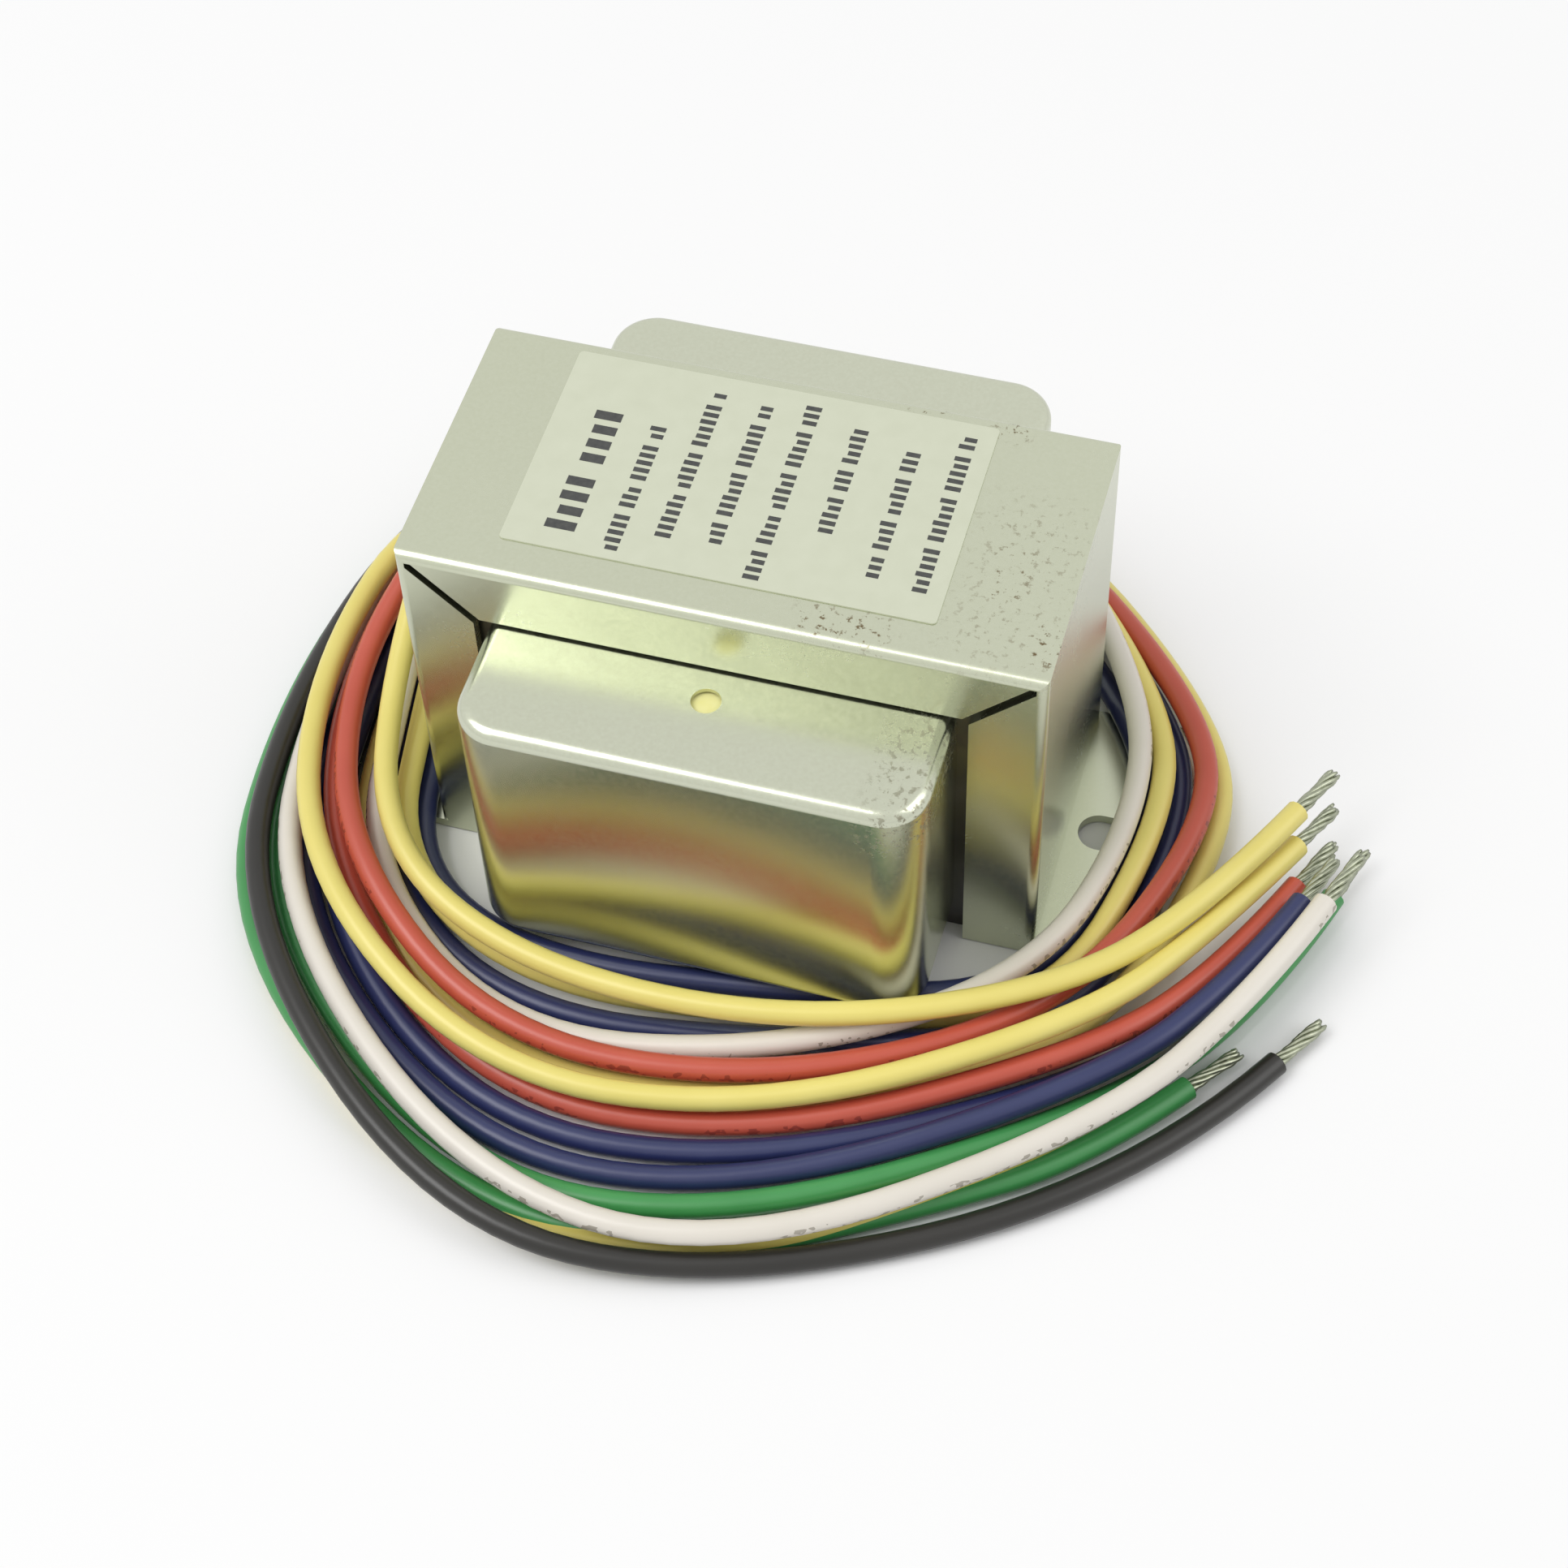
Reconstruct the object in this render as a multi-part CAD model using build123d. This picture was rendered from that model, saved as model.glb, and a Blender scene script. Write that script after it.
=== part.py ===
from build123d import *
import math
import os

# A small low-voltage transformer for a hot tub control box. A stack of steel
# laminations sits in a folded channel frame with two slotted feet. A drawn
# cover closes the coil on each side, and nine insulated leads lie coiled
# round the foot of the frame. All sizes are in millimetres.
# The origin is at the bottom centre: X runs from foot to foot, Y from the
# front cover to the rear one, and Z is up.

# Channel frame
frame_width = 69.0
frame_depth = 34.0
frame_height = 47.0
sheet = 1.2
frame_bend = 2.0
lip_bend = 1.1
lip_width = 8.0
mitre_gap = 1.0

# Feet
foot_span = 94.0
slot_from_end = 7.3
slot_length = 8.0
slot_width = 4.8
foot_corner = 2.5

# Laminated core
core_clearance = 0.05
core_depth = 30.6
core_limb = 11.1
core_corner = 0.4

# Bobbin and the layers wound on it, from the inside to the outside
bobbin_clearance = 0.2
bobbin_wall = 1.0
flange_thickness = 1.0
flange_margin = 0.3
primary_build = 3.6
tape_build = 0.3
shield_build = 0.2
secondary_a_build = 2.0
secondary_b_build = 1.4
outer_tape_build = 0.4
layer_corner = 1.5

# Thermal cut-off and the sleeves over the lead splices
cutoff_width = 14.0
cutoff_height = 5.0
cutoff_thickness = 3.0
cutoff_gap = 4.0
sleeve_diameter = 3.2
sleeve_pitch = 3.3

# Drawn covers
cover_sheet = 0.5
cover_width = 50.0
cover_gap = 0.4
cover_reach = 14.0
cover_corner = 5.0
cover_edge = 1.5
cover_hole = 3.2
cover_hole_from_lip = 4.0
tab_width = 46.0
tab_height = 5.5

# Lead-out bushings in the rear cover
bushing_flange = 2.0
bushing_rim = 0.8
bushing_neck = 1.5
side_bushing_size = (8.2, 12.6)
side_bushing_centre = (22.4, 15.3)
back_bushing_size = (11.8, 9.2)
back_bushing_centre = (-10.0, 18.7)

# Rating label
label_size = (46.3, 27.4)
label_centre = (-1.35, 1.5)
label_thickness = 0.15

# Leads
lead_diameter = 2.7
tip_diameter = 1.3
tip_length = 7.5
bend_share = 0.45

# The leads' routes, chosen by hand. Each starts on its bushing's face, lies
# on the floor or on a foot, and ends where its insulation is stripped.
lead_routes = {
    "yellow_a": [
        (-27, 20.3, 15.3), (-37, 20.3, 15.3), (-41.9, 12.4, 9.6), (-40, -5, 6),
        (-36.2, -26.5, 6), (-18, -36.6, 2.7), (12, -32.8, 1.5), (38.4, -26.2, 2.8),
        (45.2, -1, 6), (42.2, 15.6, 6), (20, 40.2, 7.9), (-12, 41, 7.9), (-42.2, 25, 25),
        (-43.6, -4, 11.4), (-37.2, -27.2, 9.2), (-18, -36.9, 6.5), (12, -37.8, 7.9),
        (39, -27.3, 9.2), (52, -13.5, 10.4), (59.4, 2, 10),
    ],
    "yellow_b": [
        (-27, 24.3, 11), (-36.5, 24.3, 11), (-43.3, 15, 3.7), (-45.4, -5, 2.8),
        (-40.4, -29.6, 2.8), (-18, -47.2, 1.5), (12, -44, 1.5), (43.1, -30.7, 2.8),
        (52.6, 2, 2.8), (46.6, 18.6, 2.8), (21.5, 44, 1.5), (-12, 45.8, 7.9),
        (-48.4, 22.6, 10.4), (-52.8, -6, 9), (-44.2, -32.4, 9.2), (-18, -50.2, 5.2),
        (12, -47.1, 4.7), (42.6, -30.2, 9.2), (53.3, -14.5, 8.2), (60.1, -0.5, 7.2),
    ],
    "red": [
        (-27, 20.3, 19.6), (-37.6, 20.3, 19.6), (-44.9, 12, 14.2), (-48.4, -7, 9.2),
        (-40.4, -29.6, 9.2), (-18, -45.6, 4.7), (12, -43.4, 4.7), (40, -27.8, 6), (50.6, 1, 6),
        (45.5, 17, 6), (21, 41, 4.7), (-12, 43, 5.2), (-46.9, 22.2, 7.9), (-50, -6, 6.5),
        (-42, -30.8, 6), (-18, -50.6, 1.9), (12, -48.4, 1.5), (44, -31.6, 6), (55, -18, 5.3),
        (61, -4.5, 5.3),
    ],
    "blue_a": [
        (-27, 20.3, 11), (-36.8, 20.3, 11), (-41.2, 12.6, 5.2), (-38.3, -5, 2.8),
        (-34.8, -25.4, 2.8), (-18, -33, 1.5), (12, -29.4, 1.5), (36.2, -24, 2.8), (43, 0, 2.8),
        (40, 14.5, 2.8), (19, 36.8, 1.5), (-12, 44.3, 2.2), (-45.4, 21.4, 5.2),
        (-48.4, -6, 3.3), (-43.8, -32.2, 2.8), (-18, -54, 1.5), (12, -51.9, 1.5),
        (45.4, -33, 2.8), (56, -17, 1.5), (59.5, -7.5, 1.5),
    ],
    "blue_b": [
        (-27, 24.3, 15.3), (-37.2, 24.3, 15.3), (-43.8, 15.5, 8.2), (-41.6, -5, 2.8),
        (-37.6, -27.5, 2.8), (-18, -40.2, 1.5), (12, -36.2, 1.5), (40.8, -28.5, 2.8),
        (47.6, 1, 2.8), (43.2, 17, 2.8), (20.5, 39.8, 1.5), (-12, 48.8, 1.5), (-46.9, 22, 2.7),
        (-51.5, -6, 2.4), (-46.4, -34.1, 2.8), (-18, -57.4, 1.5), (12, -55.4, 1.5),
        (46.7, -34.2, 6), (58, -18, 7.5), (62, -8, 7.5),
    ],
    "white": [
        (-27, 24.3, 19.6), (-37.2, 24.3, 19.6), (-44.9, 15.5, 11.2), (-43.2, -5, 6),
        (-39, -28.5, 6), (-18, -43.6, 2.2), (12, -39.6, 4.7), (36, -24, 6), (42.1, -2, 6),
        (39.9, 15, 8.4), (20, 40.4, 11.1), (-8, 54.5, 11.1), (-49.9, 23.6, 6.9), (-53, -6, 5.3),
        (-47.4, -34.9, 6), (-18, -61.4, 4.7), (12, -65.3, 4.7), (47.5, -39.7, 6),
        (60, -20.5, 8.7), (64.5, -8.5, 9),
    ],
    "green": [
        (-14, 33, 17), (-14, 44.2, 15.8), (-27, 49.4, 9.4), (-49.8, 20.8, 1.5),
        (-54.6, -6, 1.6), (-48.8, -35.9, 2.8), (-18, -60.8, 1.5), (12, -58.9, 1.5),
        (47.5, -35.8, 2.8), (60, -17.5, 1.5), (65, -3, 2.5),
    ],
    "striped": [
        (-6, 33, 17), (-6, 47.5, 17), (-24, 55, 8), (-52.6, 24, 1.5), (-57.6, -6, 1.6),
        (-52.2, -38.4, 2.8), (-18, -64.2, 1.5), (12, -62.3, 1.5), (31, -51.5, 1.5),
        (46, -41.5, 1.5), (54.5, -30.5, 1.5),
    ],
    "black": [
        (-10, 33, 20.5), (-10, 45, 19.8), (-24.5, 51.6, 14.6), (-51.2, 24.4, 4.2),
        (-56.1, -6, 4.4), (-50.8, -37.4, 6), (-18, -67.5, 4.7), (12, -66.3, 1.5),
        (51, -44.5, 1.5), (63, -25, 1.5),
    ],
}


def slab(x, y, z):
    """A box between two X, two Y and two Z values."""
    size = (x[1] - x[0], y[1] - y[0], z[1] - z[0])
    centre = ((x[0] + x[1]) / 2, (y[0] + y[1]) / 2, (z[0] + z[1]) / 2)
    return Pos(*centre) * Box(*size)


def ring(half_x, half_y, build, corner, z):
    """A rectangular ring round the Z axis, with rounded outer corners."""
    outer = RectangleRounded(2 * (half_x + build), 2 * (half_y + build), corner + build)
    inner = RectangleRounded(2 * half_x, 2 * half_y, corner)
    return Pos(0, 0, z[0]) * extrude(outer - inner, amount=z[1] - z[0])


# Sizes that follow from the ones above
half_width = frame_width / 2
half_depth = frame_depth / 2
core_half_x = half_width - sheet - core_clearance
core_half_y = core_depth / 2
core_top = frame_height - sheet
window_x = (core_limb, core_half_x - core_limb)
window_z = (core_limb, core_top - core_limb)
coil_z = (window_z[0] + flange_margin + flange_thickness, window_z[1] - flange_margin - flange_thickness)
sleeve_length = coil_z[1] - coil_z[0] - cutoff_height - cutoff_gap
slot_centre_x = foot_span / 2 - slot_from_end
cover_height = frame_height - 2 * (lip_width + cover_gap)
cover_middle = frame_height / 2


# Channel frame: the band over the top and sides
def frame_band():
    with BuildPart() as band:
        with BuildSketch(Plane.XZ):
            with Locations((0, frame_height / 2)):
                Rectangle(frame_width, frame_height)
            top_corners = [v for v in vertices() if v.Z > frame_height - 1]
            fillet(top_corners, frame_bend + sheet)
        extrude(amount=half_depth, both=True)
        with BuildSketch(Plane.XZ):
            inner_height = frame_height - sheet
            with Locations((0, inner_height / 2)):
                Rectangle(frame_width - 2 * sheet, inner_height)
            top_corners = [v for v in vertices() if v.Z > inner_height - 1]
            fillet(top_corners, core_corner)
        extrude(amount=half_depth, both=True, mode=Mode.SUBTRACT)
    return band.part


# Channel frame: one of the two rims, turned in from the band
def frame_lip(side):
    inner = side * (half_depth - sheet)
    outer = side * half_depth
    y = (min(inner, outer), max(inner, outer))
    rim = slab((-half_width + sheet, half_width - sheet), y, (0, core_top))
    opening = half_width - lip_width
    rim -= slab((-opening, opening), y, (-1, frame_height - lip_width))
    for way in (-1, 1):
        reach = lip_width - sheet
        cut = Box(2 * math.hypot(reach, reach) + 2, 4 * sheet, mitre_gap)
        cut = Rot(0, way * -45, 0) * cut
        rim -= Pos(way * (half_width - lip_width / 2), outer, frame_height - lip_width / 2) * cut
    return rim


# Channel frame: one foot with its slot
def frame_foot(way):
    inner = half_width - sheet
    outer = foot_span / 2
    foot = slab((inner, outer), (-half_depth, half_depth), (0, sheet))
    outer_corners = foot.edges().filter_by(Axis.Z).group_by(Axis.X)[-1]
    foot = fillet(outer_corners, foot_corner)
    slot = SlotOverall(slot_length, slot_width)
    foot -= Pos(slot_centre_x, 0, -1) * extrude(slot, amount=sheet + 2)
    return foot if way > 0 else foot.mirror(Plane.YZ)


def channel_frame():
    frame = frame_band()
    for side in (-1, 1):
        frame += frame_lip(side)
    for way in (-1, 1):
        frame += frame_foot(way)
    folds = [e for e in frame.edges().filter_by(GeomType.LINE)
             if abs(abs(e.center().Y) - half_depth) < 0.01
             and (abs(e.center().Z - frame_height) < 0.01
                  or (abs(abs(e.center().X) - half_width) < 0.01 and e.length > frame_height / 2))]
    return fillet(folds, lip_bend)


# Core: the E stack and the I stack that closes it
def core_stacks():
    depth = (-core_half_y, core_half_y)
    e_stack = slab((-core_half_x, core_half_x), depth, (core_limb, core_top))
    for way in (-1, 1):
        x = sorted((way * window_x[0], way * window_x[1]))
        e_stack -= slab(x, depth, (window_z[0] - 1, window_z[1]))
    outer = e_stack.edges().filter_by(Axis.Y).group_by(Axis.Z)[-1]
    e_stack = fillet(outer, core_corner)
    i_stack = slab((-core_half_x, core_half_x), depth, (0, core_limb))
    return e_stack, i_stack


# Bobbin: a tube over the middle limb with a flange at each end
def bobbin():
    hole_x = core_limb + bobbin_clearance
    hole_y = core_half_y + bobbin_clearance
    bottom = window_z[0] + flange_margin
    top = window_z[1] - flange_margin
    reach = window_x[1] - hole_x - flange_margin
    part = ring(hole_x, hole_y, bobbin_wall, layer_corner / 3, (bottom, top))
    part += ring(hole_x, hole_y, reach, layer_corner / 3, (bottom, bottom + flange_thickness))
    part += ring(hole_x, hole_y, reach, layer_corner / 3, (top - flange_thickness, top))
    return part


# The layers wound on the bobbin
def wound_layers():
    builds = {
        "primary_winding": primary_build,
        "primary_tape": tape_build,
        "shield_foil": shield_build,
        "shield_tape": tape_build,
        "secondary_winding_a": secondary_a_build,
        "secondary_tape": tape_build,
        "secondary_winding_b": secondary_b_build,
        "outer_tape": outer_tape_build,
    }
    x = core_limb + bobbin_clearance + bobbin_wall
    y = core_half_y + bobbin_clearance + bobbin_wall
    z = coil_z
    corner = layer_corner / 3 + bobbin_wall
    layers = {}
    for name, build in builds.items():
        layers[name] = ring(x, y, build, corner, z)
        x += build
        y += build
        corner += build
    return layers, y


# Thermal cut-off, flat on the rear of the coil near its top
def thermal_cutoff(coil_y):
    body = slab((-cutoff_width / 2, cutoff_width / 2), (coil_y, coil_y + cutoff_thickness),
                (coil_z[1] - cutoff_height, coil_z[1]))
    return fillet(body.edges().filter_by(Axis.Z), cutoff_thickness / 4)


# Sleeves over the splices between the coil and the nine leads
def splice_sleeves(coil_y):
    count = len(lead_routes)
    sleeves = []
    for i in range(count):
        x = (i - (count - 1) / 2) * sleeve_pitch
        sleeve = Cylinder(sleeve_diameter / 2, sleeve_length, align=(Align.CENTER, Align.CENTER, Align.MIN))
        sleeves.append(Pos(x, coil_y + sleeve_diameter / 2, coil_z[0]) * sleeve)
    return Compound(children=sleeves)


# Drawn cover: a rounded pan, built facing the front
def pan(grow, back):
    width = cover_width + 2 * grow
    height = cover_height + 2 * grow
    front = -half_depth - cover_reach - grow
    body = slab((-width / 2, width / 2), (front, back), (cover_middle - height / 2, cover_middle + height / 2))
    upright = body.edges().filter_by(Axis.Z).group_by(Axis.Y)[0]
    body = fillet(upright, cover_corner + grow)
    return fillet(body.faces().sort_by(Axis.Y)[0].edges(), cover_edge + grow)


def drawn_cover():
    back = -core_half_y
    cover = pan(0, back)
    z_bottom = cover_middle - cover_height / 2 - tab_height
    z_top = cover_middle + cover_height / 2 + tab_height
    tabs = slab((-tab_width / 2, tab_width / 2), (back - cover_sheet, back), (z_bottom, z_top))
    upright = tabs.edges().filter_by(Axis.Y)
    cover += fillet(upright, cover_edge)
    cover -= pan(-cover_sheet, back + 1)
    hole = Cylinder(cover_hole / 2, 4 * cover_sheet)
    hole_y = -half_depth - cover_hole_from_lip
    return cover - Pos(0, hole_y, cover_middle + cover_height / 2) * hole


# Lead-out bushings, moulded round the leads, each clipped in a hole of the rear cover
def side_bushing(grow=0.0):
    wide, tall = side_bushing_size
    x = -cover_width / 2
    plane = Plane(origin=(x, side_bushing_centre[0], side_bushing_centre[1]), x_dir=(0, 1, 0), z_dir=(-1, 0, 0))
    return bushing(plane, wide, tall, grow)


def back_bushing(grow=0.0):
    wide, tall = back_bushing_size
    y = half_depth + cover_reach
    plane = Plane(origin=(back_bushing_centre[0], y, back_bushing_centre[1]), x_dir=(1, 0, 0), z_dir=(0, 1, 0))
    return bushing(plane, wide, tall, grow)


def bushing(plane, wide, tall, grow):
    """The bushing, or the hole for it where grow is more than zero."""
    neck_wide = wide - 2 * bushing_rim + 2 * grow
    neck_tall = tall - 2 * bushing_rim + 2 * grow
    neck = RectangleRounded(neck_wide, neck_tall, 1 + grow)
    if grow > 0:
        return plane * extrude(neck, amount=2 * cover_sheet, both=True)
    flange = RectangleRounded(wide, tall, 1.5)
    return plane * (extrude(flange, amount=bushing_flange) + extrude(neck, amount=-bushing_neck))


def rating_label():
    plate = RectangleRounded(label_size[0], label_size[1], 0.5)
    return Pos(label_centre[0], label_centre[1], frame_height) * extrude(plate, amount=label_thickness)


# Leads
def lead_path(points):
    """Straight runs joined by tangent arcs, each as large as its runs allow."""
    points = [Vector(*p) for p in points]
    radii = []
    for before, here, after in zip(points, points[1:], points[2:]):
        run_in = here - before
        run_out = after - here
        turn = math.radians(run_in.get_angle(run_out))
        shorter = min(run_in.length, run_out.length)
        radii.append(bend_share * shorter / math.tan(turn / 2))
    return FilletPolyline(*points, radius=radii), radii


def lead(name):
    path, radii = lead_path(lead_routes[name])
    start = Plane(origin=path @ 0, z_dir=path % 0)
    tube = sweep(start * Circle(lead_diameter / 2), path=path)
    expected = math.pi * lead_diameter ** 2 / 4 * path.length
    print(f"{name}: length {path.length:.0f} mm, volume {tube.volume / expected:.4f} of section times length")
    print("  arc radii " + " ".join(f"{r:.1f}" for r in radii))
    end = Plane(origin=path @ 1, z_dir=path % 1)
    tip = end * extrude(Circle(tip_diameter / 2), amount=tip_length)
    return tube, tip


def write(shape, name):
    export_step(shape, f"parts/{name}.step")


os.makedirs("parts", exist_ok=True)

write(channel_frame(), "channel_frame")
e_stack, i_stack = core_stacks()
write(e_stack, "core_e_laminations")
write(i_stack, "core_i_laminations")
write(bobbin(), "bobbin")
layers, coil_y = wound_layers()
for name, layer in layers.items():
    write(layer, name)
write(thermal_cutoff(coil_y), "thermal_cutoff")
write(splice_sleeves(coil_y), "splice_sleeves")

front_cover = drawn_cover()
rear_cover = front_cover.mirror(Plane.XZ)
rear_cover -= side_bushing(grow=0.1)
rear_cover -= back_bushing(grow=0.1)
write(front_cover, "front_cover")
write(rear_cover, "rear_cover")
write(side_bushing(), "side_lead_bushing")
write(back_bushing(), "back_lead_bushing")
write(rating_label(), "rating_label")

for name in lead_routes:
    tube, tip = lead(name)
    write(tube, f"{name}_lead")
    write(tip, f"{name}_lead_tip")
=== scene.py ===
# %% [markdown]
# # A hot tub transformer, dressed for a render
#
# The object is a small mains transformer: a stack of steel laminations in a folded, zinc-plated
# channel frame, a drawn cover on each side, a printed label on top, and nine insulated leads lying
# in loose turns round the foot. The solids come from CAD in metres, and this script gives them
# their finishes and lays the leads as smooth curves.

# %% Load the solids
import math
import random

import bpy
import bmesh
from mathutils import Matrix, Vector


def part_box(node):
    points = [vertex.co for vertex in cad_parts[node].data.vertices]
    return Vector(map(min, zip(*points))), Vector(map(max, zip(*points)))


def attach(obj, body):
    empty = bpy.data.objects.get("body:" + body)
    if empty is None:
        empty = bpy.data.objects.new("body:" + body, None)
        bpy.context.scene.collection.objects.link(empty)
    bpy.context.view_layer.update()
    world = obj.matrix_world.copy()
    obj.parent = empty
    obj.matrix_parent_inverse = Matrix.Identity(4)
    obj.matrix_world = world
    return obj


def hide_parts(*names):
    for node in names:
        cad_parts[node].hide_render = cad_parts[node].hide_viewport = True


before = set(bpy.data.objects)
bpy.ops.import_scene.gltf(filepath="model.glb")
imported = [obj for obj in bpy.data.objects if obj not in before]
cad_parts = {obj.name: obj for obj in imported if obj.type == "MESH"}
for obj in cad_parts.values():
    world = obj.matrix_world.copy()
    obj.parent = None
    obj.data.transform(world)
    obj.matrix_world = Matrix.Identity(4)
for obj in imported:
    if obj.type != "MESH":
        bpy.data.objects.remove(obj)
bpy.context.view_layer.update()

MM = 0.001
print("solids:", len(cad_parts))

# %% [markdown]
# ## Camera
#
# The photograph was taken from above the right front corner, with a short telephoto lens. Its place
# and turn were worked out from the frame's corners, so the camera is set from three directions:
# right, up and back. A square picture uses the whole 36 mm sensor both ways.

# %% Camera
camera_data = bpy.data.cameras.new("camera")
camera_data.lens = 74.5
camera_data.sensor_width = 36.0
camera_data.clip_start = 0.02
camera_data.clip_end = 20.0
camera = bpy.data.objects.new("camera", camera_data)
bpy.context.scene.collection.objects.link(camera)

right = Vector((0.9615, 0.2735, -0.0273))
back = Vector((0.1852, -0.5710, 0.7998)).normalized()
right = (right - right.dot(back) * back).normalized()
up = back.cross(right)
turn = Matrix((right, up, back)).transposed().to_4x4()
camera.matrix_world = Matrix.Translation(Vector((70.5, -213.9, 297.4)) * MM) @ turn
bpy.context.scene.camera = camera
print("camera height:", round(camera.location.z * 1000), "mm")

# %% [markdown]
# ## Helpers for materials
#
# Blender's shader sockets take linear colours, while colours are easiest to write as the sRGB hex
# values of a colour picker, so one function converts them. A second one adds any node with its
# settings and links, which keeps each recipe short enough to read in one go. The others wrap what
# many recipes share: arithmetic, a mix of two colours, noise, bands, a bump, and a finished mesh.

# %% Helpers for materials
def srgb(code):
    """An sRGB hex value as a linear colour with alpha."""
    channels = [int(code[i:i + 2], 16) / 255 for i in (0, 2, 4)]
    linear = [c / 12.92 if c <= 0.04045 else ((c + 0.055) / 1.055) ** 2.4 for c in channels]
    return (*linear, 1.0)


def per_mm(size):
    """The texture scale at which one feature is about that many millimetres across."""
    return 1.0 / (size * MM)


def add_node(material, kind, inputs=None, **settings):
    """Adds a node. Each input is a plain value, or another node's output to link."""
    node = material.node_tree.nodes.new(kind)
    for name, value in settings.items():
        setattr(node, name, value)
    for socket, value in (inputs or {}).items():
        if isinstance(value, bpy.types.NodeSocket):
            material.node_tree.links.new(value, node.inputs[socket])
        else:
            node.inputs[socket].default_value = value
    return node


def new_material(name):
    """An empty node material and its Principled shader."""
    material = bpy.data.materials.new(name)
    material.use_nodes = True
    return material, material.node_tree.nodes["Principled BSDF"]


def link(material, output, socket):
    material.node_tree.links.new(output, socket)


def object_place(material):
    return add_node(material, "ShaderNodeTexCoord").outputs["Object"]


def calc(material, operation, *values):
    """A Math node's output. Each value is a number or another node's output."""
    node = add_node(material, "ShaderNodeMath", dict(enumerate(values)), operation=operation)
    return node.outputs["Value"]


def map_range(material, value, low, high, to_low=0.0, to_high=1.0):
    """The value moved from one range to another, and held inside it."""
    node = add_node(material, "ShaderNodeMapRange",
                    {"Value": value, "From Min": low, "From Max": high,
                     "To Min": to_low, "To Max": to_high})
    return node.outputs["Result"]


def mix_colours(material, mask, first, second):
    """The first colour where the mask is 0, the second where it is 1: hex values or outputs."""
    ends = [srgb(colour) if isinstance(colour, str) else colour for colour in (first, second)]
    mix = add_node(material, "ShaderNodeMix", {0: mask, 6: ends[0], 7: ends[1]}, data_type="RGBA")
    return mix.outputs[2]


def noise(material, place, size, detail=2.0, roughness=0.5):
    """Noise with features of about that many millimetres."""
    node = add_node(material, "ShaderNodeTexNoise",
                    {"Vector": place, "Scale": per_mm(size), "Detail": detail,
                     "Roughness": roughness})
    return node.outputs["Fac"]


def bands(material, place, pitch, axis, distortion, detail=2.0):
    """Bands across an axis. They are drawn about six pitches wide, so that they still show."""
    node = add_node(material, "ShaderNodeTexWave",
                    {"Vector": place, "Scale": per_mm(pitch) / 20, "Distortion": distortion,
                     "Detail": detail}, wave_type="BANDS", bands_direction=axis)
    return node.outputs["Fac"]


def add_bump(material, shader, height, strength, depth):
    """Bumps of that depth in millimetres, over any bump that the shader has already."""
    inputs = {"Height": height, "Strength": strength, "Distance": depth * MM}
    if shader.inputs["Normal"].links:
        inputs["Normal"] = shader.inputs["Normal"].links[0].from_socket
    bump = add_node(material, "ShaderNodeBump", inputs)
    link(material, bump.outputs["Normal"], shader.inputs["Normal"])


def mesh_piece(name, mesh, material):
    """A bmesh as a new object with one material."""
    data = bpy.data.meshes.new(name)
    mesh.to_mesh(data)
    mesh.free()
    data.materials.append(material)
    piece = bpy.data.objects.new(name, data)
    bpy.context.scene.collection.objects.link(piece)
    return piece

# %% [markdown]
# ## Masks for places on a piece
#
# Wear sits at certain places of the metal. A mask that is a soft box in object space marks such a
# place: it stays where it is on the metal from any side, and needs no image and no UV map.

# %% A soft box mask
def soft_box(material, place, low, high, edge):
    """A mask that is 1 inside a box in millimetres and fades to 0 over its edge."""
    axes = add_node(material, "ShaderNodeSeparateXYZ", {"Vector": place})
    mask = 1.0
    for i, axis in enumerate("XYZ"):
        for limit, way in ((low[i], 1), (high[i], -1)):
            ramp = map_range(material, axes.outputs[axis],
                             (limit - way * edge) * MM, (limit + way * edge) * MM)
            mask = calc(material, "MULTIPLY", mask, ramp)
    return mask

# %% [markdown]
# ## Zinc-plated steel
#
# The frame and the covers are mild steel with a bright zinc plate, cut and folded from sheet. The
# plate is a soft mirror: the coloured leads show in the upright faces as blurred bands. A metal's
# look is nearly all reflection, so its colour is pale, metallic is 1, and the interest comes from
# roughness: a faint speckle from the rolled steel, slow cloudy patches, and long shallow waves in
# the bump that bend the reflections as pressed sheet does.

# %% Zinc-plated steel
def zinc_plated_steel(name, colours, roughness):
    material, shader = new_material(name)
    place = object_place(material)
    speckle = noise(material, place, 0.4)
    clouds = noise(material, place, 14)
    link(material, mix_colours(material, speckle, *colours), shader.inputs["Base Color"])
    rough = map_range(material, speckle, 0.3, 0.7, *roughness)
    # The cloudy patches are duller by up to 0.06.
    link(material, calc(material, "MULTIPLY_ADD", clouds, 0.06, rough), shader.inputs["Roughness"])
    shader.inputs["Metallic"].default_value = 1.0
    add_bump(material, shader, clouds, 0.1, 0.5)
    add_bump(material, shader, speckle, 0.05, 0.01)
    return material


frame_zinc = zinc_plated_steel("zinc_plated_steel_frame", ("c9cdb5", "cfd3bd"), (0.21, 0.24))
cover_zinc = zinc_plated_steel("zinc_plated_steel_cover", ("cacdb8", "d2d6c2"), (0.18, 0.22))
print("metal finishes:", frame_zinc.name, cover_zinc.name)

# %% [markdown]
# ## Wear on the plating
#
# Handling left brown specks on the right part of the top and scuffs on the right end of the front
# cover. Each patch is a soft box multiplied by sharp noise. The specks darken and dull the plate,
# as rust and dirt do.

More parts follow.
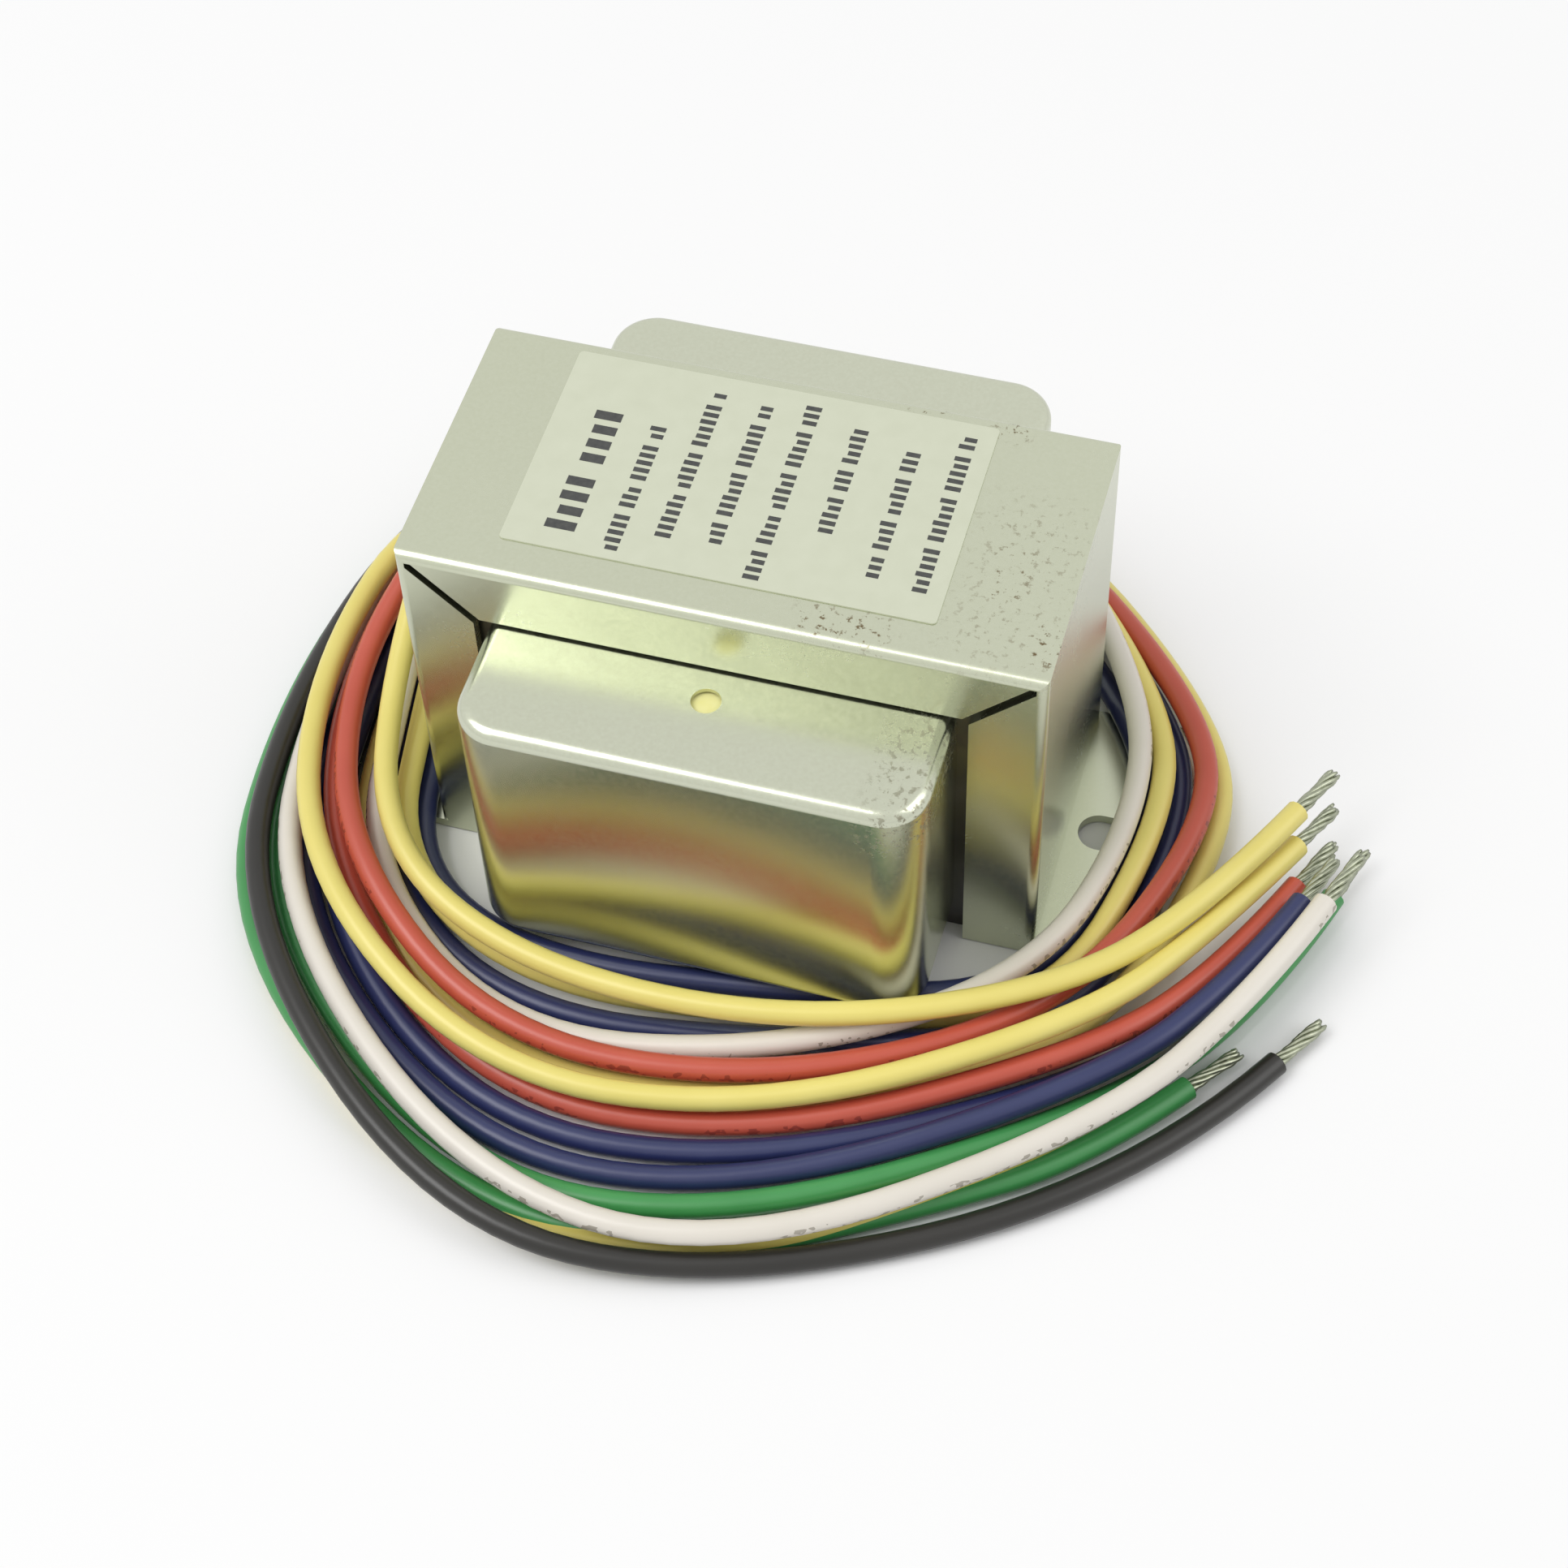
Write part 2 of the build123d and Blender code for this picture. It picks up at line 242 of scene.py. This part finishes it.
# %% Wear on the plating
def add_specks(material, patches, grain, amount, colour):
    """Adds patches of specks of about that grain, in millimetres, over the material's colour."""
    shader = material.node_tree.nodes["Principled BSDF"]
    place = object_place(material)
    level = 1 - amount
    specks = map_range(material, noise(material, place, grain, 5.0, 0.7), level, level + 0.06)
    anywhere = 0.0
    for low, high, edge in patches:
        anywhere = calc(material, "MAXIMUM", anywhere, soft_box(material, place, low, high, edge))
    worn = calc(material, "MULTIPLY", specks, anywhere)
    clean = shader.inputs["Base Color"].links[0].from_socket
    link(material, mix_colours(material, worn, clean, colour), shader.inputs["Base Color"])
    # A speck is duller than the plate by 0.3.
    bright = shader.inputs["Roughness"].links[0].from_socket
    link(material, calc(material, "MULTIPLY_ADD", worn, 0.3, bright), shader.inputs["Roughness"])


# Each patch: the box's low and high corners and its soft edge, in mm. The last is a light scatter.
frame_patches = [((25, -8, 46), (30, 0, 48), 1.2), ((31, -15, 46), (35, -9, 48), 1.0),
                 ((8, -17, 46), (18, -12.5, 48), 1.0), ((12, 13.5, 46), (16, 17.5, 48), 0.8),
                 ((21, 14, 46), (25, 17.5, 48), 0.8), ((23, -16, 46), (34.5, 6, 48), 3.0)]
add_specks(frame_zinc, frame_patches, 1.0, 0.44, "77694f")
add_specks(cover_zinc, [((19, -31.5, 33), (25.5, -17, 39), 1.5)], 0.8, 0.46, "8a8672")

# %% [markdown]
# ## Core, coil and small fittings
#
# Silicon steel laminations are 0.5 mm thick and dipped in dark varnish, so their edges show as fine
# lines across the stack. The coil is enamelled copper wire under yellow polyester tape, on a
# moulded nylon bobbin. Most of it is closed in, and only slits and the covers' holes give it away.

# %% Varnished laminations
def varnished_laminations(pitch):
    material, shader = new_material("varnished_silicon_steel")
    place = object_place(material)
    runs = noise(material, place, 3, 4.0)
    link(material, mix_colours(material, runs, "191815", "3a362c"), shader.inputs["Base Color"])
    shader.inputs["Roughness"].default_value = 0.38
    shader.inputs["Coat Weight"].default_value = 0.4
    # The sheets lie one behind the other along Y.
    add_bump(material, shader, bands(material, place, pitch, "Y", 0.4, 1.0), 0.5, 0.12)
    return material


core_varnish = varnished_laminations(0.5)

# %% Copper wire and tape
def wound_wire(name, gauge, colours):
    material, shader = new_material(name)
    turns = bands(material, object_place(material), gauge, "Z", 0.2)
    link(material, mix_colours(material, turns, *colours), shader.inputs["Base Color"])
    shader.inputs["Metallic"].default_value = 0.85
    shader.inputs["Roughness"].default_value = 0.3
    shader.inputs["Coat Weight"].default_value = 0.5
    add_bump(material, shader, turns, 0.8, 0.2)
    return material


def film(name, colours, roughness, crease):
    """A smooth plastic film or moulding with a slight crease or flow texture."""
    material, shader = new_material(name)
    creases = noise(material, object_place(material), crease, 3.0)
    link(material, mix_colours(material, creases, *colours), shader.inputs["Base Color"])
    shader.inputs["Roughness"].default_value = roughness
    add_bump(material, shader, creases, 0.15, 0.1)
    return material


copper_wire = wound_wire("enamelled_copper_wire", 0.6, ("7c3c1c", "c8763c"))
copper_foil = wound_wire("bare_copper_foil", 6.0, ("b06a44", "c88058"))
polyester_tape = film("polyester_tape", ("dcbc38", "e8cc58"), 0.25, 5)
bobbin_nylon = film("moulded_nylon_bobbin", ("e6dc8c", "f0e8a8"), 0.42, 3)
cutoff_case = film("moulded_phenolic_case", ("242424", "34322e"), 0.35, 2)
glass_sleeve = film("woven_glass_sleeve", ("dedace", "eeeade"), 0.7, 0.4)
bushing_nylon = film("moulded_nylon_bushing", ("1c1b19", "2a2926"), 0.4, 2)

# %% [markdown]
# ## Label
#
# The label is a pale grey-green polyester film with a dull printed face. Its colour is nearly the
# metal's, and only its even sheen sets it off. The printing is left out: rows of small plain blocks
# stand where the lines of print are, because blocks keep the look of print and say nothing.

# %% Label film and ink
label_film = film("polyester_label_film", ("c9cdb6", "d2d6c0"), 0.45, 2.5)

ink, ink_shader = new_material("printing_ink")
ink_tone = mix_colours(ink, noise(ink, object_place(ink), 0.5), "303133", "52534f")
link(ink, ink_tone, ink_shader.inputs["Base Color"])
ink_shader.inputs["Roughness"].default_value = 0.55

# %% Print blocks
# Each row: its place along X, where it starts and ends along Y, and its blocks' height, in mm.
print_rows = [(-18.8, -9.6, 8.2, 3.3), (-13.0, -11.0, 7.2, 1.7), (-8.2, -8.0, 13.0, 1.7),
              (-2.9, -7.5, 13.2, 1.7), (2.1, -11.2, 13.8, 1.7), (7.7, -3.3, 12.6, 1.7),
              (13.8, -7.9, 10.2, 1.7), (19.0, -8.6, 13.4, 1.7)]
BLOCK_STEP = 0.62       # of the row's height
BLOCK_WIDTH = 0.58      # of the step
WORD_GAP = 0.7          # of the step
INK_THICKNESS = 0.03    # mm, a third of it sunk into the label


def print_blocks(rows, top):
    """Thin blocks in words of three to six, one row for each line of print."""
    mesh = bmesh.new()
    pick = random.Random(4)
    for x, start, end, height in rows:
        step = height * BLOCK_STEP
        width = step * BLOCK_WIDTH
        y = start
        left_in_word = pick.randint(3, 6)
        while y + width < end:
            if left_in_word == 0:
                y += step * WORD_GAP
                left_in_word = pick.randint(3, 6)
                continue
            tall = height * pick.choice((0.78, 1.0, 1.0, 0.9))
            size = Vector((tall, width, INK_THICKNESS)) * MM
            centre = Vector((x + (height - tall) / 2, y + width / 2, top + 0.01)) * MM
            for v in bmesh.ops.create_cube(mesh, size=1.0)["verts"]:
                v.co = Vector(a * b for a, b in zip(v.co, size)) + centre
            y += step
            left_in_word -= 1
    return mesh_piece("label_print", mesh, ink)


label_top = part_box("rating_label")[1].z / MM
label_print = print_blocks(print_rows, label_top)
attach(label_print, "root")
print("print blocks:", len(label_print.data.polygons) // 6)

# %% [markdown]
# ## Covers that reach lower
#
# On the real transformer the drawn covers come down almost to the floor, lower than the solids do.
# A CAD mesh is never changed, so each cover is a copy of it whose lower edge is moved down: only
# the points of the lower wall and its rounded corners move, and the walls between get longer.

# %% Covers that reach lower
COVER_DROP = 5.2    # mm
TAB_BOTTOM = 0.3    # mm above the floor


def lower_cover(node):
    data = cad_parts[node].data.copy()
    data.name = f"{node}_shell"
    moved = 0
    for v in data.vertices:
        x, y, z = (c / MM for c in v.co)
        # The side bushing's hole stays where the bushing is.
        beside_bushing = x < -23 and 18.5 < y < 26.5 and z > 9
        if z < 6:
            v.co.z = TAB_BOTTOM * MM
        elif z < 14 and not beside_bushing:
            v.co.z -= COVER_DROP * MM
            moved += 1
    piece = bpy.data.objects.new(f"{node}_shell", data)
    bpy.context.scene.collection.objects.link(piece)
    data.materials.clear()
    data.materials.append(cover_zinc)
    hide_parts(node)
    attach(piece, "root")
    print(node, "points moved:", moved)


lower_cover("front_cover")
lower_cover("rear_cover")

# %% [markdown]
# ## Paper liner in the covers
#
# The small hole in each cover shows something pale yellow just below it: the insulating paper that
# lines the cover. It is a thin sheet with a slight crown, so the light from above finds it.

# %% Paper liner in the covers
liner_paper = film("insulating_paper", ("eee894", "f6f2b4"), 0.5, 1.2)
PAPER = 0.25    # mm, its thickness and the height of its crown


def paper_liner(name, centre, width, depth):
    mesh = bmesh.new()
    columns, rows = 16, 6
    layers = []
    for lift in (0.0, -PAPER):
        grid = {}
        for i in range(columns + 1):
            for j in range(rows + 1):
                u, v = 2 * i / columns - 1, 2 * j / rows - 1
                drop = PAPER * (1 - math.cos(u * math.pi / 2) * math.cos(v * math.pi / 2))
                place = Vector((u * width / 2, v * depth / 2, lift - drop)) + Vector(centre)
                grid[i, j] = mesh.verts.new(place * MM)
        layers.append(grid)
    top, under = layers
    for i in range(columns):
        for j in range(rows):
            square = ((i, j), (i + 1, j), (i + 1, j + 1), (i, j + 1))
            mesh.faces.new([top[k] for k in square])
            mesh.faces.new([under[k] for k in reversed(square)])
    border = ([(i, 0) for i in range(columns)] + [(columns, j) for j in range(rows)]
              + [(i, rows) for i in range(columns, 0, -1)] + [(0, j) for j in range(rows, 0, -1)])
    for p, q in zip(border, border[1:] + border[:1]):
        mesh.faces.new((top[q], top[p], under[p], under[q]))
    piece = mesh_piece(name, mesh, liner_paper)
    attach(piece, "root")


# The paper lies 6.1 mm under the cover's highest point, which is that of its tab.
liner_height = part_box("front_cover")[1].z / MM - 6.1
paper_liner("front_paper_liner", (0, -23.3, liner_height), 40, 9)
paper_liner("rear_paper_liner", (0, 23.3, liner_height), 40, 9)
print("liners lie at", round(liner_height, 1), "mm")

# %% [markdown]
# ## Give the solids their finishes
#
# A CAD solid whose shape is right only needs a better material, so each node's name is matched to
# one of the finishes above.

# %% Give the solids their finishes
finishes = {
    "channel_frame": frame_zinc,
    "core_e_laminations": core_varnish, "core_i_laminations": core_varnish,
    "bobbin": bobbin_nylon, "primary_winding": copper_wire, "secondary_winding_a": copper_wire,
    "secondary_winding_b": copper_wire, "shield_foil": copper_foil, "primary_tape": polyester_tape,
    "shield_tape": polyester_tape, "secondary_tape": polyester_tape, "outer_tape": polyester_tape,
    "thermal_cutoff": cutoff_case, "splice_sleeves": glass_sleeve,
    "side_lead_bushing": bushing_nylon, "back_lead_bushing": bushing_nylon,
    "rating_label": label_film,
}
for node, material in finishes.items():
    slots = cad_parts[node].data.materials
    slots.clear()
    slots.append(material)
print("finished solids:", len(finishes))

# %% [markdown]
# ## Lead insulation
#
# The leads are stranded copper in extruded PVC, about 2.7 mm over the insulation. PVC has an IOR of
# about 1.53 and a satin skin. The colour is even, so the finish adds only a slow change of tone, a
# faint ripple along the lead from the extruder, and small print marks on the pale ones. A curve's
# own UV map runs along its length and round it, which is what stripes and marks need.

# %% Lead insulation
LEAD = 2.7              # mm
STRIPE_TURN = 130       # mm of lead for one twist of the stripe
STRIPE_SHARE = 0.3      # of the way round


def stripe_mask(material, along, round_it, length):
    """1 on the stripe. It starts half a turn round, so that it shows as in the photograph."""
    angle = calc(material, "MULTIPLY_ADD", along, length / STRIPE_TURN, round_it)
    part = calc(material, "FRACT", calc(material, "ADD", angle, 0.5))
    return calc(material, "LESS_THAN", part, STRIPE_SHARE)


def print_mask(material, along, round_it, length):
    """1 on the print marks: specks of about 1 mm, in groups of some 14 mm, on one side."""
    stretch = add_node(material, "ShaderNodeCombineXYZ",
                       {"X": calc(material, "MULTIPLY", along, length),
                        "Y": calc(material, "MULTIPLY", round_it, 8.0)}).outputs["Vector"]
    letters = add_node(material, "ShaderNodeTexNoise",
                       {"Vector": stretch, "Scale": 1.1, "Detail": 1.0}).outputs["Fac"]
    groups = add_node(material, "ShaderNodeTexNoise",
                      {"Vector": stretch, "Scale": 0.06, "Detail": 0.0}).outputs["Fac"]
    dark = calc(material, "GREATER_THAN", letters, 0.56)
    side = calc(material, "COMPARE", round_it, 0.3, 0.06)
    group = calc(material, "GREATER_THAN", groups, 0.5)
    return calc(material, "MULTIPLY", calc(material, "MULTIPLY", dark, side), group)


def pvc_insulation(name, colours, length, marks=None, stripe=None):
    """Satin PVC. marks is the colour of the print marks, stripe that of a stripe along the lead."""
    material, shader = new_material(name)
    place = object_place(material)
    uv = add_node(material, "ShaderNodeTexCoord").outputs["UV"]
    axes = add_node(material, "ShaderNodeSeparateXYZ", {"Vector": uv})
    where = (axes.outputs["X"], axes.outputs["Y"], length)
    colour = mix_colours(material, noise(material, place, 9), *colours)
    if stripe:
        colour = mix_colours(material, stripe_mask(material, *where), colour, stripe)
    if marks:
        colour = mix_colours(material, print_mask(material, *where), colour, marks)
    link(material, colour, shader.inputs["Base Color"])
    shader.inputs["Roughness"].default_value = 0.36
    shader.inputs["IOR"].default_value = 1.53
    add_bump(material, shader, noise(material, place, 1.5), 0.15, 0.08)
    return material

# %% [markdown]
# ## Lead routes
#
# A free lead is a length of something springy: it comes straight out of its bushing, drops to the
# bench and lies there in loose turns. Each route is a list of given points, and a NURBS spline
# passes smoothly near them, which a bent wire or a chain of arcs never does. Order 3 and the end
# points are set after the points, because Blender forgets them otherwise.

# %% Lead routes
lead_routes = {
    "yellow_a": [
        (-27, 20.3, 15.3), (-37, 20.3, 15.3), (-41.9, 12.4, 9.6), (-40, -5, 6),
        (-36.2, -26.5, 6), (-18, -36.6, 2.7), (12, -32.8, 1.5), (38.4, -26.2, 2.8),
        (45.2, -1, 6), (42.2, 15.6, 6), (20, 40.2, 7.9), (-12, 41, 7.9), (-42.2, 25, 25),
        (-43.6, -4, 11.4), (-37.2, -27.2, 9.2), (-18, -36.9, 6.5), (12, -37.8, 7.9),
        (39, -27.3, 9.2), (52, -13.5, 10.4), (59.4, 2, 10),
    ],
    "yellow_b": [
        (-27, 24.3, 11), (-36.5, 24.3, 11), (-43.3, 15, 3.7), (-45.4, -5, 2.8),
        (-40.4, -29.6, 2.8), (-18, -47.2, 1.5), (12, -44, 1.5), (43.1, -30.7, 2.8),
        (52.6, 2, 2.8), (46.6, 18.6, 2.8), (21.5, 44, 1.5), (-12, 45.8, 7.9),
        (-48.4, 22.6, 10.4), (-52.8, -6, 9), (-44.2, -32.4, 9.2), (-18, -50.2, 5.2),
        (12, -47.1, 4.7), (42.6, -30.2, 9.2), (53.3, -14.5, 8.2), (60.1, -0.5, 7.2),
    ],
    "red": [
        (-27, 20.3, 19.6), (-37.6, 20.3, 19.6), (-44.9, 12, 14.2), (-48.4, -7, 9.2),
        (-40.4, -29.6, 9.2), (-18, -45.6, 4.7), (12, -43.4, 4.7), (40, -27.8, 6), (50.6, 1, 6),
        (45.5, 17, 6), (21, 41, 4.7), (-12, 43, 5.2), (-46.9, 22.2, 7.9), (-50, -6, 6.5),
        (-42, -30.8, 6), (-18, -50.6, 1.9), (12, -48.4, 1.5), (44, -31.6, 6), (55, -18, 5.3),
        (61, -4.5, 5.3),
    ],
    "blue_a": [
        (-27, 20.3, 11), (-36.8, 20.3, 11), (-41.2, 12.6, 5.2), (-38.3, -5, 2.8),
        (-34.8, -25.4, 2.8), (-18, -33, 1.5), (12, -29.4, 1.5), (36.2, -24, 2.8), (43, 0, 2.8),
        (40, 14.5, 2.8), (19, 36.8, 1.5), (-12, 44.3, 2.2), (-45.4, 21.4, 5.2),
        (-48.4, -6, 3.3), (-43.8, -32.2, 2.8), (-18, -54, 1.5), (12, -51.9, 1.5),
        (45.4, -33, 2.8), (56, -17, 1.5), (59.5, -7.5, 1.5),
    ],
    "blue_b": [
        (-27, 24.3, 15.3), (-37.2, 24.3, 15.3), (-43.8, 15.5, 8.2), (-41.6, -5, 2.8),
        (-37.6, -27.5, 2.8), (-18, -40.2, 1.5), (12, -36.2, 1.5), (40.8, -28.5, 2.8),
        (47.6, 1, 2.8), (43.2, 17, 2.8), (20.5, 39.8, 1.5), (-12, 48.8, 1.5), (-46.9, 22, 2.7),
        (-51.5, -6, 2.4), (-46.4, -34.1, 2.8), (-18, -57.4, 1.5), (12, -55.4, 1.5),
        (46.7, -34.2, 6), (58, -18, 7.5), (62, -8, 7.5),
    ],
    "white": [
        (-27, 24.3, 19.6), (-37.2, 24.3, 19.6), (-44.9, 15.5, 11.2), (-43.2, -5, 6),
        (-39, -28.5, 6), (-18, -43.6, 2.2), (12, -39.6, 4.7), (36, -24, 6), (42.1, -2, 6),
        (39.9, 15, 8.4), (20, 40.4, 11.1), (-8, 54.5, 11.1), (-49.9, 23.6, 6.9), (-53, -6, 5.3),
        (-47.4, -34.9, 6), (-18, -61.4, 4.7), (12, -65.3, 4.7), (47.5, -39.7, 6),
        (60, -20.5, 8.7), (64.5, -8.5, 9),
    ],
    "green": [
        (-14, 33, 17), (-14, 44.2, 15.8), (-27, 49.4, 9.4), (-49.8, 20.8, 1.5),
        (-54.6, -6, 1.6), (-48.8, -35.9, 2.8), (-18, -60.8, 1.5), (12, -58.9, 1.5),
        (47.5, -35.8, 2.8), (60, -17.5, 1.5), (65, -3, 2.5),
    ],
    "striped": [
        (-6, 33, 17), (-6, 47.5, 17), (-24, 55, 8), (-52.6, 24, 1.5), (-57.6, -6, 1.6),
        (-52.2, -38.4, 2.8), (-18, -64.2, 1.5), (12, -62.3, 1.5), (31, -51.5, 1.5),
        (46, -41.5, 1.5), (54.5, -30.5, 1.5),
    ],
    "black": [
        (-10, 33, 20.5), (-10, 45, 19.8), (-24.5, 51.6, 14.6), (-51.2, 24.4, 4.2),
        (-56.1, -6, 4.4), (-50.8, -37.4, 6), (-18, -67.5, 4.7), (12, -66.3, 1.5),
        (51, -44.5, 1.5), (63, -25, 1.5),
    ],
}
print("lead routes:", len(lead_routes))

# %% Lengths and finishes of the leads
# The length of each lead in millimetres, and its colours, print marks and stripe.
lead_facts = {
    "yellow_a": (443, ("e6d672", "eee084"), None, None),
    "yellow_b": (501, ("e6d672", "eee084"), None, None),
    "red": (484, ("bc4e3c", "cc5e4a"), "9c4034", None),
    "blue_a": (448, ("262c58", "303864"), None, None),
    "blue_b": (489, ("262c58", "303864"), None, None),
    "white": (505, ("ded8cc", "e8e2d8"), "aca598", None),
    "green": (264, ("3c8c4a", "4a9e58"), None, None),
    "striped": (261, ("3c8c4a", "4a9e58"), None, "e6d672"),
    "black": (266, ("1e1d1a", "2a2824"), None, None),
}


def lay_lead(name, points):
    """A lead as one open NURBS spline with a round section."""
    curve = bpy.data.curves.new(name, "CURVE")
    curve.dimensions = "3D"
    curve.bevel_depth = LEAD / 2 * MM
    curve.bevel_resolution = 5
    curve.use_fill_caps = True
    spline = curve.splines.new("NURBS")
    spline.points.add(len(points) - 1)
    for point, place in zip(spline.points, points):
        point.co = (*(Vector(place) * MM), 1.0)
    spline.order_u = 3
    spline.use_endpoint_u = True
    spline.resolution_u = 10
    lead = bpy.data.objects.new(name, curve)
    bpy.context.scene.collection.objects.link(lead)
    return lead

# %% [markdown]
# ## Stripped ends
#
# Each lead ends in about 7 mm of bare tinned strands, twisted together: one in the middle and six
# round it. Seven thin tubes along helices show that twist, and it has to be geometry, because the
# outline of the end is bumpy. The tin is grey and slightly dull.

# %% Tinned copper
def tinned_copper():
    material, shader = new_material("tinned_copper")
    blotch = noise(material, object_place(material), 0.8, 3.0)
    link(material, mix_colours(material, blotch, "767c68", "c4c8b2"), shader.inputs["Base Color"])
    shader.inputs["Metallic"].default_value = 1.0
    shader.inputs["Roughness"].default_value = 0.34
    add_bump(material, shader, blotch, 0.4, 0.1)
    return material


tin = tinned_copper()

# %% Twisted strands
STRAND = 0.56           # mm, the diameter of one strand
STRAND_RING = 0.5       # mm, from the middle strand to the outer ones
TIP = 7.5               # mm of bare strands
TWIST_PITCH = 11.0      # mm for one turn


def strand_tube(mesh, centres, radii, sides=8):
    """Adds a closed tube round a list of centres."""
    rings, across = [], None
    for i, centre in enumerate(centres):
        ahead = centres[min(i + 1, len(centres) - 1)] - centres[max(i - 1, 0)]
        if across is None:
            across = ahead.orthogonal()
        across = (across - across.project(ahead)).normalized()
        other = ahead.normalized().cross(across)
        ring = []
        for k in range(sides):
            angle = 2 * math.pi * k / sides
            offset = across * math.cos(angle) + other * math.sin(angle)
            ring.append(mesh.verts.new(centre + offset * radii[i]))
        rings.append(ring)
    for low, high in zip(rings, rings[1:]):
        for k in range(sides):
            mesh.faces.new((low[k], low[(k + 1) % sides], high[(k + 1) % sides], high[k]))
    mesh.faces.new(reversed(rings[0]))
    mesh.faces.new(rings[-1])


def stripped_end(name, start, direction, seed):
    """Seven twisted strands from the lead's end along its last direction."""
    pick = random.Random(seed)
    along = direction.normalized()
    side = along.orthogonal().normalized()
    other = along.cross(side)
    mesh = bmesh.new()
    steps = 16
    for strand in range(7):
        radius = 0.0 if strand == 6 else STRAND_RING
        reach = TIP - pick.uniform(0.0, 0.9)
        centres, radii = [], []
        for i in range(steps + 1):
            t = i / steps
            angle = 2 * math.pi * (strand / 6 + reach * t / TWIST_PITCH)
            # A slight swell and uneven strands, because the twist is done by hand.
            swell = radius * (1 + 0.12 * math.sin(9 * t + seed))
            offset = (side * math.cos(angle) + other * math.sin(angle)) * swell
            centres.append(start + (along * reach * t + offset) * MM)
            thick = STRAND / 2 * pick.uniform(0.92, 1.1)
            radii.append(thick * (0.55 if i == steps else 1.0) * MM)
        strand_tube(mesh, centres, radii)
    piece = mesh_piece(name, mesh, tin)
    for face in piece.data.polygons:
        face.use_smooth = True
    return piece

# %% Lay the leads
# Each bushing is a strain relief that several leads share.
for seed, (name, points) in enumerate(lead_routes.items()):
    length, colours, marks, stripe = lead_facts[name]
    lead = lay_lead(f"{name}_cord", points)
    pvc = pvc_insulation(f"pvc_insulation_{name}", colours, length, marks, stripe)
    lead.data.materials.append(pvc)
    last, before = Vector(points[-1]), Vector(points[-2])
    end = stripped_end(f"{name}_strands", last * MM, last - before, seed)
    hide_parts(f"{name}_lead")
    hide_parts(f"{name}_lead_tip")
    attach(lead, "root")
    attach(end, "root")
print("leads laid:", len(lead_routes))

# %% [markdown]
# ## Floor and light
#
# The photograph stands on plain white with hardly a shadow. The floor is a matt white plane that
# looks pure white to the camera and in reflections, and still takes the object's shadow: a plain
# diffuse shader is mixed with a weak glow that only the camera and mirrors see. Ambient occlusion
# takes the glow away where the leads and the frame shut the floor in, so their gaps stay darker.
# Two large soft lamps and an even world light the object at a plain level.

# %% Floor
bpy.ops.mesh.primitive_plane_add(size=6, location=(0, 0, -0.0002))
floor = bpy.context.object
floor.name = "floor"
floor_paint, floor_shader = new_material("matt_white_floor")
floor_shader.inputs["Base Color"].default_value = srgb("f4f4f4")
floor_shader.inputs["Roughness"].default_value = 0.9
floor_shader.inputs["Specular IOR Level"].default_value = 0.1
rays = add_node(floor_paint, "ShaderNodeLightPath").outputs
seen = calc(floor_paint, "MULTIPLY_ADD", rays["Is Glossy Ray"], 0.4, rays["Is Camera Ray"])
glow = add_node(floor_paint, "ShaderNodeEmission", {"Color": (1, 1, 1, 1), "Strength": 1.0})
# The glow's share is at most 0.62 on open floor, and nothing where 32 mm round it is shut in.
shut_in = add_node(floor_paint, "ShaderNodeAmbientOcclusion", {"Distance": 32 * MM}, samples=12)
share = calc(floor_paint, "MULTIPLY", seen,
             map_range(floor_paint, shut_in.outputs["AO"], 0.45, 0.85, 0.0, 0.62))
both = add_node(floor_paint, "ShaderNodeMixShader",
                {0: share, 1: floor_shader.outputs["BSDF"], 2: glow.outputs["Emission"]})
floor_output = floor_paint.node_tree.nodes["Material Output"]
link(floor_paint, both.outputs["Shader"], floor_output.inputs["Surface"])
floor.data.materials.append(floor_paint)

# %% Light
def soft_lamp(name, place, size, power):
    """A square area lamp of that size in metres, aimed at the object."""
    data = bpy.data.lights.new(name, "AREA")
    data.size = size
    data.energy = power
    lamp = bpy.data.objects.new(name, data)
    lamp.location = place
    lamp.rotation_euler = (-Vector(place)).to_track_quat("-Z", "Y").to_euler()
    bpy.context.scene.collection.objects.link(lamp)


soft_lamp("key_lamp", (-0.5, -0.35, 0.9), 0.6, 6.0)
soft_lamp("fill_lamp", (0.8, 0.1, 0.7), 0.8, 3.0)

world = bpy.data.worlds.new("studio")
bpy.context.scene.world = world
world.use_nodes = True
sky = world.node_tree.nodes["Background"]
sky.inputs["Color"].default_value = (1, 1, 1, 1)
rays = add_node(world, "ShaderNodeLightPath").outputs
# Diffuse light from the world is 0.5. Metal sees it at 0.92 and the camera at 1, as white.
for_metal = calc(world, "MULTIPLY_ADD", rays["Is Glossy Ray"], 0.42, 0.5)
for_camera = calc(world, "MULTIPLY_ADD", rays["Is Camera Ray"], 0.5, for_metal)
link(world, for_camera, sky.inputs["Strength"])
bpy.context.scene.view_settings.view_transform = "Standard"
